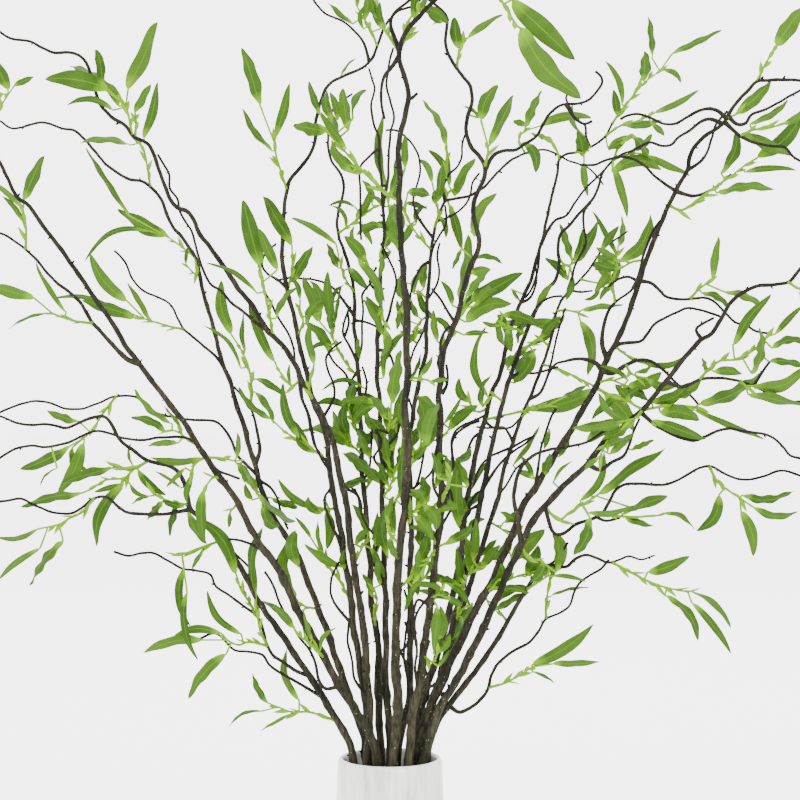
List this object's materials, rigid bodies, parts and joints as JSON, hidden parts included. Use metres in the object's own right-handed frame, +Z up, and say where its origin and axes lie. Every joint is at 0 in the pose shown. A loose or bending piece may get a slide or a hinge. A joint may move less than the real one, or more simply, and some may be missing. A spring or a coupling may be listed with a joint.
{
  "type": "willow stems in a vase",
  "caption": "Curly willow stems with green leaves on dark twisting twigs, standing fanned out in a round ceramic vase.",
  "frame": {"origin": "centre of the vase's flat base, on the ground", "axes": "+Z up along the vase's axis, the front of the arrangement towards -Y, +X to the right as seen from the front"},
  "size_m": [0.9703, 0.7608, 1.135],
  "materials": {
    "glaze": "satin",
    "bark": "matte"
  },
  "bodies": {
    "root": {"vase": "glaze", "stem_01": "bark", "stem_02": "bark", "stem_03": "bark", "stem_04": "bark", "stem_05": "bark", "stem_06": "bark", "stem_07": "bark", "stem_08": "bark", "stem_09": "bark", "stem_10": "bark", "stem_11": "bark", "stem_12": "bark", "stem_13": "bark", "stem_14": "bark", "stem_15": "bark", "stem_16": "bark"}
  },
  "joints": []
}
